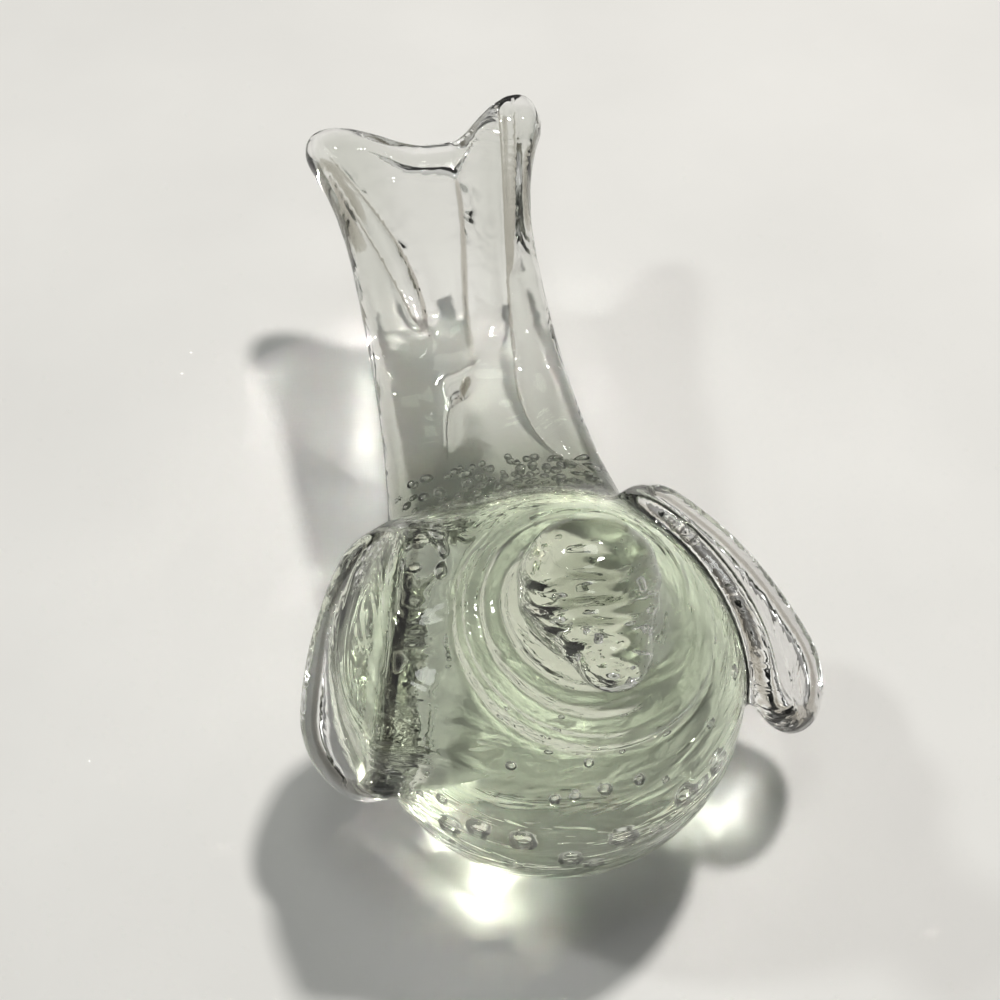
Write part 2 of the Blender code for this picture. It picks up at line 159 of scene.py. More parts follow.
# Creases pinched into the tail: each one's line in plan as (y, x) points in mm, its depth and its width
CREASES = (
    (((65.4, -7.2), (73.0, -6.2), (84.0, -7.8), (98.0, -11.2), (112.0, -16.1)), 2.0 * MM, 1.3 * MM),
    (((65.4, -7.8), (74.5, -9.9), (89.8, -13.3), (107.6, -17.4)), 1.5 * MM, 1.1 * MM),
    (((60.0, -0.2), (73.6, 1.1), (87.8, 3.6), (102.0, 5.3)), 1.3 * MM, 1.4 * MM),
    (((57.0, 6.5), (70.0, 8.4), (86.3, 10.9), (102.3, 14.0), (120.0, 17.0)), 1.9 * MM, 1.3 * MM),
    (((74.0, 9.6), (86.0, 12.6), (101.9, 16.2), (118.0, 19.6)), 1.4 * MM, 1.0 * MM),
    (((32.0, 13.2), (38.1, 9.3), (43.8, 7.0), (50.9, 6.0), (58.0, 6.6)), 2.4 * MM, 1.2 * MM),
    (((39.0, -8.7), (46.4, -7.5), (51.1, -6.0), (53.7, -4.4)), 2.2 * MM, 0.8 * MM),
)
CREASE_FADE = 5.0 * MM
CREASE_TO_EDGE = 3.0 * MM
CREASE_BLUNTNESS = 0.2
CREASE_CURVE_DEGREE = 3

# The deep pit where two creases meet
PIT_PLACE = (-4.3 * MM, 53.2 * MM)
PIT_DEPTH = 5.0 * MM
PIT_RADIUS = 1.5 * MM

# The green core stays this far under the skin, and reaches this far into the tail
CORE_DEPTH = 1.0 * MM
CORE_REACH_Y = 44.0 * MM
CORE_END_ROUNDING = 3.0 * MM

# Smoky glass, partly the tail's grey and partly painted shade in the tail's root: how far it stays under
# the skin of the tail, where the tail's end leaves it thinner
SMOKE_AND_SHADE_DEPTH = 0.8 * MM
SMOKE_AND_SHADE_THINS_BY = 1.1 * MM
SMOKE_AND_SHADE_THINS_FROM_Y = 50.0 * MM
SMOKE_AND_SHADE_THINS_TO_Y = 68.0 * MM

# How far it stays clear of the round body, its rounding there, and its depth under the skin of the head,
# whose middle it darkens as painted shade
SMOKE_AND_SHADE_FROM_BODY = 0.3 * MM
SMOKE_AND_SHADE_ROUNDING = 1.0 * MM
HEAD_SMOKE_AND_SHADE_DEPTH = 6.3 * MM

# Brownish glass under the creases, darkened further as painted crease shade: depth of its middle below the
# tail's, and half its height
STRAND_AND_SHADE_BELOW = 0.9 * MM
STRAND_AND_SHADE_HALF_HEIGHT = 0.75 * MM
STRAND_AND_SHADE_LEAST_STRENGTH = 0.1

# A dark spot of painted shade beside the pit: place, height above the tail's middle, half height and radius
PIT_SHADE_PLACE = (-2.2 * MM, 55.5 * MM)
PIT_SHADE_ABOVE = 0.5 * MM
PIT_SHADE_HALF_HEIGHT = 2.0 * MM
PIT_SHADE_RADIUS = 1.4 * MM

# A dark strand of painted shade along each wing's rim: how far inside the rim, its radius, and how far off
# the body
WING_RIM_SHADE_INSIDE = 2.6 * MM
WING_RIM_SHADE_RADIUS = 0.7 * MM
WING_RIM_SHADE_FROM_BODY = 0.5 * MM

# Wings: root, bend, tip and half-width, in mm
LEFT_WING = ((16.5, 23.0, 43.0), (29.0, 13.0, 38.5), (39.7, -10.7, 19.0), 10.6)
RIGHT_WING = ((-18.0, 21.5, 44.0), (-28.0, 5.0, 45.5), (-32.2, -12.5, 23.2), 12.8)
WING_RIM = 6.4 * MM
WING_WEB = 4.2 * MM
WING_RIM_WIDTH = 5.0 * MM
WING_FACING = (0.70, -0.22, 0.66)
WING_ROOT_WIDTH = 0.62
WING_WIDEST_AT = 0.55
WING_ROOT_ROUNDING = 6.0 * MM

# How far a wing's middle lies off the body, as shares of its rim, and where along it the wing lifts
WING_SEAT = 0.10
WING_LIFT = 0.28
WING_LIFT_FROM = 0.25
WING_LIFT_TO = 0.875
WING_LAP_ROUNDING = 2.0 * MM

# Fillets of the wings; the right one is melted deeply into the shoulder above the body's middle
LEFT_WING_FILLET = 2.4 * MM
RIGHT_WING_FILLETS = (3.0 * MM, 14.0 * MM)
RIGHT_WING_MELTS_FROM_Z = 30.0 * MM
RIGHT_WING_MELTS_TO_Z = 42.0 * MM

# Slow waves: pairs of sines, each with its turns per mm along x, y and z in radians, and its start
WAVE_PAIRS = (
    ((0.55, 0.21, 0.0, 1.3), (0.0, -0.18, 0.47, 0.4)),
    ((0.0, 0.83, 0.35, 2.1), (0.71, 0.0, -0.52, 0.0)),
)
WAVES_FROM_Z = 3.0 * MM


class GlassBirdSettings(bpy.types.PropertyGroup):
    """Sizes and colours of the glass bird and its stage."""

    skin_step: FloatProperty(
        name="Skin Step",
        description="Spacing of the grid that the glass skin is drawn on",
        default=0.615 * MM,
        min=0.3 * MM,
        unit="LENGTH",
    )
    waviness: FloatProperty(
        name="Waviness",
        description="Height of the slow waves that hand shaping leaves in the glass",
        default=0.05 * MM,
        min=0.0,
        unit="LENGTH",
    )
    clear_tint: FloatVectorProperty(
        name="Clear Tint",
        description="Colour that light keeps on its way through the clear glass",
        default=(0.87, 0.89, 0.78),
        subtype="COLOR",
        min=0.0,
        max=1.0,
    )
    clear_density: FloatProperty(
        name="Clear Density",
        description="How quickly the clear glass tints light with depth, per metre",
        default=6.0,
        min=0.0,
    )
    green_tint: FloatVectorProperty(
        name="Green Tint",
        description="Colour that light keeps on its way through the green core",
        default=(0.86, 0.97, 0.68),
        subtype="COLOR",
        min=0.0,
        max=1.0,
    )
    green_density: FloatProperty(
        name="Green Density",
        description="How quickly the green core tints light with depth, per metre",
        default=7.0,
        min=0.0,
    )
    bubble_radius: FloatProperty(
        name="Bubble Radius",
        description="Radius of the bubbles in the rows",
        default=1.5 * MM,
        min=0.2 * MM,
        unit="LENGTH",
    )
    seed_count: IntProperty(
        name="Seed Bubbles",
        description="How many tiny bubbles are caught at the roots of the tail and the wings",
        default=200,
        min=0,
    )
    # The smoky tint and density are partly the tail's grey and partly painted shade in the tail's root and
    # the head's middle
    smoke_and_shade_tint: FloatVectorProperty(
        name="Smoke and Shade Tint",
        description="Colour that light keeps on its way through the smoky glass of tail and head",
        default=(0.40, 0.44, 0.34),
        subtype="COLOR",
        min=0.0,
        max=1.0,
    )
    smoke_and_shade_density: FloatProperty(
        name="Smoke and Shade Density",
        description="How quickly the smoky glass takes up light with depth, per metre",
        default=90.0,
        min=0.0,
    )
    # The strand tint and density are partly brownish glass and partly painted shade in the creases, beside
    # the pit and along the wings' rims
    strand_and_shade_tint: FloatVectorProperty(
        name="Strand and Shade Tint",
        description="Colour that light keeps on its way through the strands in tail and wings",
        default=(0.50, 0.46, 0.38),
        subtype="COLOR",
        min=0.0,
        max=1.0,
    )
    strand_and_shade_density: FloatProperty(
        name="Strand and Shade Density",
        description="How quickly the strands take up light with depth, per metre",
        default=640.0,
        min=0.0,
    )
    floor_colour: FloatVectorProperty(
        name="Floor Colour",
        description="Colour of the floor",
        default=(0.79, 0.78, 0.755),
        subtype="COLOR",
        min=0.0,
        max=1.0,
    )
    key_power: FloatProperty(
        name="Key Light",
        description="Power of the lamp over the bird's left side, in watts",
        default=5.7,
        min=0.0,
    )
    second_power: FloatProperty(
        name="Second Light",
        description="Power of the weaker lamp over the bird's right side, in watts",
        default=1.4,
        min=0.0,
    )
    fill_power: FloatProperty(
        name="Fill Light",
        description="Power of the soft lamp beside the camera, in watts",
        default=0.7,
        min=0.0,
    )
    ceiling_power: FloatProperty(
        name="Ceiling Light",
        description="Power of the wide soft lamp straight above the bird, in watts",
        default=0.9,
        min=0.0,
    )
    sky_strength: FloatProperty(
        name="Room Light",
        description="Strength of the even light from the room",
        default=0.05,
        min=0.0,
    )


# Shapes as fields: a function of points in space that is negative inside the glass, in metres

def smooth_union(one, other, blend):
    """Two shapes joined with a fillet about as wide as the blend."""
    share = np.clip(0.5 + 0.5 * (other - one) / blend, 0.0, 1.0)
    return other + (one - other) * share - blend * share * (1.0 - share)


def smooth_overlap(one, other, blend):
    """What two shapes share, with the edge between them rounded."""
    return -smooth_union(-one, -other, blend)


def ease(value):
    """A smooth step from 0 to 1 as the value goes from 0 to 1."""
    value = np.clip(value, 0.0, 1.0)
    return value * value * (3.0 - 2.0 * value)


def leaning(left, forward):
    """A unit vector that leans from upright towards the bird's left and forward, in degrees."""
    left, forward = math.radians(left), math.radians(forward)
    axis = np.array((math.sin(left), -math.sin(forward), math.cos(forward)))
    return axis / np.linalg.norm(axis)


def head_centre():
    """The middle of the head's knob."""
    return BODY_CENTRE + leaning(*HEAD_LEAN) * HEAD_HEIGHT


def off_body(points):
    """Distance outside the round body, before its foot is ground flat."""
    return np.linalg.norm(points - BODY_CENTRE, axis=1) - BODY_RADIUS


def body_field(points):
    """The round body, ground flat below."""
    return smooth_overlap(off_body(points), -points[:, 2], FOOT_ROUNDING)


def along_and_across(points, origin, axis):
    """Distance along an axis and distance from it."""
    out = points - origin
    along = out @ axis
    return along, np.sqrt(np.maximum((out**2).sum(1) - along**2, 0.0))


def collar_field(points):
    """The flared collar with its wound rings, from a lip on the shoulder up to the head."""
    axis = leaning(*COLLAR_LEAN)
    to_head = head_centre() - BODY_CENTRE
    top = to_head @ axis
    aside = to_head - axis * top
    seat = math.sqrt(BODY_RADIUS**2 - COLLAR_RADIUS**2)
    foot = seat + COLLAR_LIP
    height = (points - BODY_CENTRE) @ axis
    share = np.clip((height - foot) / (top - foot), 0.0, 1.0)
    centre = BODY_CENTRE + height[:, None] * axis + share[:, None] * aside
    radius = np.linalg.norm(points - centre, axis=1)
    opening = (1.0 - share ** COLLAR_FLARE[0]) ** COLLAR_FLARE[1]
    flare = COLLAR_TOP_RADIUS + (COLLAR_RADIUS - COLLAR_TOP_RADIUS) * opening
    side = (points - centre)[:, 0] / np.maximum(radius, 1e-6)
    fade = ease(share / RING_FADE_AT_FOOT) * ease((1.0 - share) / RING_FADE_AT_TOP)
    strength = RING_DEPTH * (0.5 - 0.5 * side) * fade
    rings = strength * np.cos(2.0 * math.pi * RING_COUNT * np.sqrt(share) + RING_SWAY * side)
    wall = (radius - flare - rings) / COLLAR_WALL_SLOPE
    rounded = smooth_overlap(wall, height - top, COLLAR_EDGE_ROUNDING)
    return smooth_overlap(rounded, (seat - COLLAR_SINK) - height, COLLAR_EDGE_ROUNDING)


def head_field(points):
    """The rippled knob of the head with the beak drawn out of it."""
    centre = head_centre()
    knob = np.linalg.norm(points - centre, axis=1) - HEAD_RADIUS
    along, across = along_and_across(points, centre, BEAK_AIM)
    share = np.clip(along / BEAK_REACH, 0.0, 1.0)
    from_line = np.hypot(across, along - share * BEAK_REACH)
    beak = from_line - (BEAK_ROOT_RADIUS + (BEAK_TIP_RADIUS - BEAK_ROOT_RADIUS) * share)
    x, y, z = (points - centre).T
    swirl = np.hypot(z + SWIRL_BELOW, SWIRL_WIDENING * x) + SWIRL_SLANT * y
    swirl += SWIRL_SWAY * np.sin(x / SWIRL_SWAY_LENGTH)
    ripples = RIPPLE_HEIGHT * np.sin(2.0 * math.pi * swirl / RIPPLE_PITCH)
    return smooth_union(knob, beak, BEAK_FILLET) + ripples


def tail_half_width(along):
    """Half the tail's width at a share of its length."""
    root, waist, end = TAIL_HALF_WIDTHS
    before = np.maximum(1.0 - along / TAIL_WAIST_AT, 0.0) ** TAIL_ROOT_FLARE
    after = np.maximum((along - TAIL_WAIST_AT) / (1.0 - TAIL_WAIST_AT), 0.0) ** TAIL_END_FLARE
    return waist + (root - waist) * before + (end - waist) * after


def beside_crease(x, y, line, width):
    """How far to the side of a crease a place is, in widths, and how much of the crease is left there."""
    line_y, line_x = np.array(line).T * MM
    curve = np.polynomial.Polynomial.fit(line_y, line_x, CREASE_CURVE_DEGREE)
    lean = np.sqrt(1.0 + curve.deriv()(y) ** 2)
    strength = ease((y - line_y[0]) / CREASE_FADE) * ease((line_y[-1] + CREASE_FADE - y) / CREASE_FADE)
    return (x - curve(y)) / (lean * width), strength


def crease_shape(x, y):
    """How far the creases and the pit push the upper face down."""
    push = np.zeros_like(x)
    for line, depth, width in CREASES:
        off, strength = beside_crease(x, y, line, width)
        push += strength * depth * np.exp(CREASE_BLUNTNESS - np.hypot(off, CREASE_BLUNTNESS))
    off = np.hypot(x - PIT_PLACE[0], y - PIT_PLACE[1]) / PIT_RADIUS
    return push + PIT_DEPTH * np.exp(-(off**2))


def tail_middle(y):
    """Height of the middle of the tail's thickness."""
    return TAIL_ROOT_Z + TAIL_RISE * ease((y - TAIL_RISE_FROM_Y) / (TAIL_RISE_TO_Y - TAIL_RISE_FROM_Y))


def horn_reach(across, length, start, full, falling, fall_over, loss):
    """How far a horn reaches beyond the notch, at a share of the tail's half-width."""
    rise = ease((across - start) / (full - start))
    return length * rise * (1.0 - loss * ease((across - falling) / fall_over))


def tail_field(points):
    """The flattened tail: thick rounded rims, a thinner web, creases, a keel at the root and two horns."""
    x, y, z = points.T
    along = np.clip((y - TAIL_ROOT_Y) / (TAIL_NOTCH_Y - TAIL_ROOT_Y), 0.0, TAIL_ALONG_TO)
    half = tail_half_width(along)
    off = x + TAIL_DRIFT * np.sin(math.pi * along) - TAIL_END_DRIFT * along**2
    across = np.abs(off) / half
    horn = np.where(off > 0.0, horn_reach(across, *LEFT_HORN), horn_reach(across, *RIGHT_HORN))
    beside = (np.abs(off) - half) / TAIL_SIDE_SLOPE
    beyond = (y - TAIL_NOTCH_Y - horn) / TAIL_END_SLOPE
    plan = smooth_overlap(beside, beyond, TAIL_CORNER_ROUNDING)
    plan = np.maximum(plan, TAIL_START_Y - y)

    root, rim, web = TAIL_THICKNESSES
    at_side = ease((across - TAIL_RIM_FROM) / (TAIL_RIM_TO - TAIL_RIM_FROM))
    to_rim = np.maximum(at_side, ease(1.0 + beyond / TAIL_BEAD))
    rims = web + (rim - web) * to_rim
    drawn = rim + (rims - rim) * ease((along - TAIL_WEB_FROM) / (TAIL_WEB_TO - TAIL_WEB_FROM))
    thick = 0.5 * (drawn + (root - drawn) * ease(1.0 - along / TAIL_ROOT_TO))
    push = 0.5 * crease_shape(x, y) * ease(-plan / CREASE_TO_EDGE)
    middle = tail_middle(y) - push
    thick = np.maximum(thick - push, TAIL_LEAST_HALF_THICKNESS)
    keel = 0.5 * TAIL_KEEL * ease(1.0 - along / TAIL_KEEL_TO)
    thick += keel
    middle -= keel
    return np.hypot(np.maximum(plan + thick, 0.0), z - middle) - thick


def beside_wing(points, root, bend, tip, half_width):
    """How far points lie outside a wing's outline, and above its middle."""
    start, middle, end = (np.array(place) * MM for place in (root, bend, tip))
    half_width = half_width * MM
    length = np.linalg.norm(end - start)
    axis = (end - start) / length
    facing = np.array((math.copysign(WING_FACING[0], tip[0]), WING_FACING[1], WING_FACING[2]))
    facing -= axis * (facing @ axis)
    facing /= np.linalg.norm(facing)
    aside = np.cross(facing, axis)
    bow = 0.5 * (middle - 0.5 * (start + end))
    out = points - start
    along = out @ axis
    share = np.clip(along / length, 0.0, 1.0)
    arch = 4.0 * share * (1.0 - share)
    off = out @ aside - arch * (bow @ aside)
    height = out @ facing - arch * (bow @ facing)
    swell = np.sin(0.5 * math.pi * np.minimum(1.0, share / WING_WIDEST_AT))
    half = half_width * (WING_ROOT_WIDTH + (1.0 - WING_ROOT_WIDTH) * swell)
    to_tip = np.maximum(along - (length - half_width), 0.0) / half_width
    to_root = np.maximum(WING_ROOT_ROUNDING - along, 0.0) / WING_ROOT_ROUNDING
    plan = (np.sqrt((off / half) ** 2 + to_tip**2 + to_root**2) - 1.0) * half
    lift = WING_LIFT * ease((share - WING_LIFT_FROM) / (WING_LIFT_TO - WING_LIFT_FROM))
    on_body = off_body(points) - WING_RIM * (WING_SEAT + lift)
    return plan, smooth_union(on_body, height, WING_LAP_ROUNDING)


def wing_field(points, wing):
    """A leaf-shaped bit laid from the shoulder over the side of the body, to a free tip."""
    plan, above = beside_wing(points, *wing)
    thick = 0.5 * (WING_WEB + (WING_RIM - WING_WEB) * ease(1.0 + plan / WING_RIM_WIDTH))
    return np.hypot(np.maximum(plan + thick, 0.0), above) - thick


def waves(points):
    """Slow waves over the glass, between -1 and 1."""
    height = np.zeros(len(points))
    for pair in WAVE_PAIRS:
        one, other = (np.sin(points / MM @ np.array(turns) + start) for *turns, start in pair)
        height += one * other / len(WAVE_PAIRS)
    return height


def join_collar_and_head(shape, points):
    """A shape with the collar and the head melted onto it."""
    shape = smooth_union(shape, collar_field(points), COLLAR_FILLET)
    return smooth_union(shape, head_field(points), HEAD_FILLET)


def bird_field(points, waviness):
    """The whole bird as one fused body of glass."""
    shape = smooth_union(body_field(points), tail_field(points), TAIL_FILLET)
    shape = smooth_union(shape, wing_field(points, LEFT_WING), LEFT_WING_FILLET)
    least, most = RIGHT_WING_FILLETS
    up = (points[:, 2] - RIGHT_WING_MELTS_FROM_Z) / (RIGHT_WING_MELTS_TO_Z - RIGHT_WING_MELTS_FROM_Z)
    shape = smooth_union(shape, wing_field(points, RIGHT_WING), least + (most - least) * ease(up))
    shape = join_collar_and_head(shape, points)
    return shape + waviness * waves(points) * ease(points[:, 2] / WAVES_FROM_Z)


def core_field(points):
    """The green glass inside: body, collar and head, drawn out a little into the tail's root."""
    tongue = smooth_overlap(tail_field(points), points[:, 1] - CORE_REACH_Y, CORE_END_ROUNDING)
    shape = smooth_union(body_field(points), tongue, TAIL_FILLET)
    return join_collar_and_head(shape, points) + CORE_DEPTH


def smoke_and_painted_shade_field(points):
    """Faintly smoky glass and painted shade inside the tail, outside the round body, and painted shade in
    the middle of the head.
    """
    thinner = ease((points[:, 1] - SMOKE_AND_SHADE_THINS_FROM_Y) / (SMOKE_AND_SHADE_THINS_TO_Y - SMOKE_AND_SHADE_THINS_FROM_Y))
    depth = SMOKE_AND_SHADE_DEPTH + SMOKE_AND_SHADE_THINS_BY * thinner
    tail = smooth_overlap(tail_field(points) + depth, SMOKE_AND_SHADE_FROM_BODY - off_body(points), SMOKE_AND_SHADE_ROUNDING)
    return np.minimum(tail, head_field(points) + HEAD_SMOKE_AND_SHADE_DEPTH)


def strands_and_painted_shade_field(points):
    """Brownish glass and painted shade: strands under the tail's creases, strands of painted shade inside
    the wings' rims, and a spot of painted shade beside the pit.
    """
    x, y, z = points.T
    nearest = np.full(len(points), np.inf)
    low = (z - tail_middle(y) + STRAND_AND_SHADE_BELOW) / STRAND_AND_SHADE_HALF_HEIGHT
    for line, _, width in CREASES:
        off, strength = beside_crease(x, y, line, width)
        strand = (np.hypot(off, low) - strength) * width
        nearest = np.minimum(nearest, np.where(strength > STRAND_AND_SHADE_LEAST_STRENGTH, strand, width))

    # A dark spot of painted shade beside the pit
    aside = np.hypot(x - PIT_SHADE_PLACE[0], y - PIT_SHADE_PLACE[1]) / PIT_SHADE_RADIUS
    above = (z - tail_middle(y) - PIT_SHADE_ABOVE) / PIT_SHADE_HALF_HEIGHT
    nearest = np.minimum(nearest, (np.hypot(aside, above) - 1.0) * PIT_SHADE_RADIUS)

    # Strands of painted shade along the wings' rims
    for wing in (LEFT_WING, RIGHT_WING):
        plan, above = beside_wing(points, *wing)
        strand = np.hypot(plan + WING_RIM_SHADE_INSIDE, above) - WING_RIM_SHADE_RADIUS
        nearest = np.minimum(nearest, np.maximum(strand, WING_RIM_SHADE_FROM_BODY - off_body(points)))
    return nearest


# Drawing a field's surface as a mesh

# Steps in a coarse block, and how near the surface, in blocks, its middle is where it is worked out finely
BLOCK = 4
NEAR_BLOCK = 1.6

# Corners of a grid cell, and the pairs of them that an edge joins
CORNERS = np.array([(i & 1, i >> 1 & 1, i >> 2 & 1) for i in range(8)])
EDGES = [(a, b) for a in range(8) for b in range(a + 1, 8) if np.abs(CORNERS[a] - CORNERS[b]).sum() == 1]

# Points are pulled onto the surface this many times, each time by at most this share of a step
PULLS = 3
LONGEST_PULL = 0.5


def sample(field, low, high, step):
    """The field at the nodes of a grid, worked out finely only near its surface."""
    blocks = np.ceil((high - low) / (BLOCK * step)).astype(int)
    centres = np.stack(np.meshgrid(*[np.arange(count) for count in blocks], indexing="ij"), -1)
    centres = centres.reshape(-1, 3)
    coarse = field(low + (centres + 0.5) * BLOCK * step).reshape(blocks)
    near = np.abs(coarse) < NEAR_BLOCK * BLOCK * step
    for axis in range(3):
        coarse = coarse.repeat(BLOCK, axis)
        near = near.repeat(BLOCK, axis)
    coarse[near] = field(low + (np.argwhere(near) + 0.5) * step)
    return coarse


def gradient(field, points, reach=0.01 * MM):
    """Which way the field grows fastest at each point."""
    slopes = []
    for axis in range(3):
        shift = np.zeros(3)
        shift[axis] = reach
        slopes.append((field(points + shift) - field(points - shift)) / (2.0 * reach))
    return np.stack(slopes, 1)


def cell_points(values, low, step):
    """A point in each grid cell that the surface crosses, and each cell's number among them."""
    inside = values < 0.0
    cells = np.array(values.shape) - 1
    corner_inside = sum(
        inside[i : cells[0] + i, j : cells[1] + j, k : cells[2] + k].astype(np.int8) for i, j, k in CORNERS
    )
    mixed = (corner_inside > 0) & (corner_inside < 8)
    where = np.argwhere(mixed)
    at_corners = np.stack([values[tuple((where + corner).T)] for corner in CORNERS], 1)
    total = np.zeros(where.shape)
    hits = np.zeros(len(where))
    for a, b in EDGES:
        one, other = at_corners[:, a], at_corners[:, b]
        crosses = (one < 0.0) != (other < 0.0)
        share = np.where(crosses, one / np.where(crosses, one - other, 1.0), 0.0)
        total += crosses[:, None] * (CORNERS[a] + share[:, None] * (CORNERS[b] - CORNERS[a]))
        hits += crosses
    number = np.full(mixed.shape, -1)
    number[mixed] = np.arange(len(where))
    return low + (where + 0.5 + total / hits[:, None]) * step, number


def cell_faces(inside, number):
    """A four-sided face across each grid edge that the surface crosses, between four cells' points."""
    faces = []
    for axis in range(3):
        one, two = np.eye(3, dtype=int)[[(axis + 1) % 3, (axis + 2) % 3]]
        lower = np.delete(inside, -1, axis)
        upper = np.delete(inside, 0, axis)
        for first_inside in (True, False):
            nodes = np.argwhere((lower == first_inside) & (upper != first_inside))
            ring = [nodes, nodes - one, nodes - one - two, nodes - two]
            quads = np.stack([number[tuple(cell.T)] for cell in ring], 1)
            faces.append(quads if first_inside else quads[:, ::-1])
    return np.concatenate(faces)


def pull_onto_surface(field, points, step):
    """Points near the field's surface, moved onto it."""
    for _ in range(PULLS):
        slope = gradient(field, points)
        move = slope * (field(points) / (slope**2).sum(1))[:, None]
        far = np.linalg.norm(move, axis=1)[:, None]
        points = points - move * np.minimum(1.0, LONGEST_PULL * step / np.maximum(far, 1e-12))
    return points


def surface(field, low, high, step):
    """The field's zero surface: points, four-sided faces and the outward way at each point."""
    values = sample(field, low, high, step)
    points, number = cell_points(values, low, step)
    faces = cell_faces(values < 0.0, number)
    points = pull_onto_surface(field, points, step)
    outward = gradient(field, points)
    return points, faces, outward / np.linalg.norm(outward, axis=1)[:, None]


def fill_mesh(mesh, points, face_lists, outward):
    """Put points, faces and smooth shading into a mesh."""
    mesh.clear_geometry()
    mesh.from_pydata(points.tolist(), [], [face for faces in face_lists for face in faces.tolist()])
    mesh.shade_smooth()
    mesh.normals_split_custom_set_from_vertices(outward.tolist())
    mesh.update()


# Bubbles

def refined_ball():
    """Points and faces of a unit ball, facing inwards as the wall of a cavity does."""
    shape = bmesh.new()
    bmesh.ops.create_icosphere(shape, subdivisions=2, radius=1.0)
    bmesh.ops.reverse_faces(shape, faces=shape.faces)
    shape.verts.index_update()
    points = np.array([vertex.co[:] for vertex in shape.verts])
    faces = np.array([[vertex.index for vertex in face.verts] for face in shape.faces])
    shape.free()
    return points, faces


def toward(azimuth, elevation):
    """A unit vector by its way round from the tail towards the left wing, and its way up, in degrees."""
    around, above = math.radians(azimuth), math.radians(elevation)
    flat = math.cos(above)
    return np.array((flat * math.sin(around), flat * math.cos(around), math.sin(above)))


# Rows of bubbles in the body: elevation in degrees, radius as a share, count, first place in degrees
BUBBLE_ROWS = (
    (-38.0, 0.7, 12, 0.0),
    (-20.0, 0.9, 15, 12.0),
    (-2.0, 1.3, 16, 0.0),
    (16.0, 0.7, 15, 12.0),
    (34.0, 0.45, 13, 0.0),
)
BUBBLE_DEPTH = 4.5 * MM

# How far a bubble strays along its row and from it, in degrees, and how its size varies
ROW_STRAY_ALONG = 4.0
ROW_STRAY_ACROSS = 2.5
ROW_SIZES = (0.85, 1.15)

# Where the chance starts that strews the bubbles, the same each time
CHANCE_START = 7

# A bubble is flattened towards the skin and stretched along it
BUBBLE_FLATTENING = 0.88
BUBBLE_STRETCHES = (1.0, 1.25)

# Rows from this elevation up give way, over the breast, to the bubbles placed singly below
BREAST_FROM, BREAST_TO, BREAST_ABOVE = 132.0, 310.0, -10.0

# Bubbles in the breast: azimuth and elevation in degrees, radius as a share
BREAST_BUBBLES = (
    (226.0, -7.0, 1.25), (216.0, -1.0, 1.3), (202.0, -1.5, 1.3), (187.0, -12.0, 1.25),
    (170.5, -4.0, 1.4), (148.0, 1.0, 1.35), (141.5, -1.0, 1.0), (159.0, -8.0, 0.7),
    (192.5, 18.0, 0.62), (186.0, 19.0, 0.6), (176.0, 20.0, 0.7), (164.0, 19.0, 0.65),
    (238.0, 0.0, 0.6), (229.0, 5.0, 0.65), (243.5, -1.5, 0.55), (155.0, 14.0, 0.4),
    (208.0, 28.0, 0.45), (195.0, 35.0, 0.4), (180.5, 30.0, 0.45), (168.0, 32.0, 0.35),
    (214.5, 45.0, 0.4), (190.0, 46.0, 0.35), (163.5, 44.0, 0.4), (150.0, 30.0, 0.4),
)


def row_bubbles(radius, chance):
    """Centre, facing and radius of each bubble pressed into the body."""
    places = []
    for elevation, share, count, first in BUBBLE_ROWS:
        for step in range(count):
            azimuth = first + 360.0 * step / count + chance.uniform(-ROW_STRAY_ALONG, ROW_STRAY_ALONG)
            azimuth %= 360.0
            above = elevation + chance.uniform(-ROW_STRAY_ACROSS, ROW_STRAY_ACROSS)
            size = share * chance.uniform(*ROW_SIZES)
            if elevation < BREAST_ABOVE or not BREAST_FROM < azimuth < BREAST_TO:
                places.append((azimuth, above, size))
    bubbles = []
    for azimuth, elevation, share in (*places, *BREAST_BUBBLES):
        out = toward(azimuth, elevation)
        bubbles.append((BODY_CENTRE + out * (BODY_RADIUS - BUBBLE_DEPTH), out, radius * share))
    return bubbles


# Clouds of tiny bubbles: middle, spread along each axis, share of the count, and radius in mm
SEED_CLOUDS = (
    ((-1.0, 32.0, 36.0), (15.0, 6.5, 5.0), 0.75, 0.9),
    ((24.5, 17.0, 40.0), (2.0, 3.0, 3.0), 0.06, 0.9),
    ((-22.5, 18.0, 40.0), (2.0, 3.0, 3.0), 0.07, 0.8),
    ((2.5, -17.0, 66.0), (6.0, 7.0, 5.0), 0.12, 0.55),
)
SEED_TRIES = 40
SEED_SIZES = (0.55, 1.2)
SEED_UNDER_SKIN = 0.7 * MM
SEED_APART = 0.25 * MM
SEED_TILT = 45.0


def seed_bubbles(count, chance):
    """Centre, facing and radius of each tiny bubble, kept well inside the glass and apart."""
    bubbles = []
    for middle, spread, share, radius in SEED_CLOUDS:
        placed = 0
        for _ in range(SEED_TRIES * count):
            if placed >= round(count * share):
                break
            centre = (np.array(middle) + np.array(spread) * chance.uniform(-1.0, 1.0, 3)) * MM
            size = radius * chance.uniform(*SEED_SIZES) * MM
            deep = bird_field(centre[None], 0.0)[0] < -(size + SEED_UNDER_SKIN)
            gaps = (np.linalg.norm(centre - other[0]) - size - other[2] for other in bubbles)
            if deep and all(gap > SEED_APART for gap in gaps):
                bubbles.append((centre, toward(chance.uniform(0.0, 360.0), SEED_TILT), size))
                placed += 1
    return bubbles


def across_axes(out):
    """Two unit vectors square to a unit vector and to each other."""
    steep = abs(out[2]) >= 0.9
    side = np.cross(out, (1.0, 0.0, 0.0) if steep else (0.0, 0.0, 1.0))
    side /= np.linalg.norm(side)
    return side, np.cross(out, side)


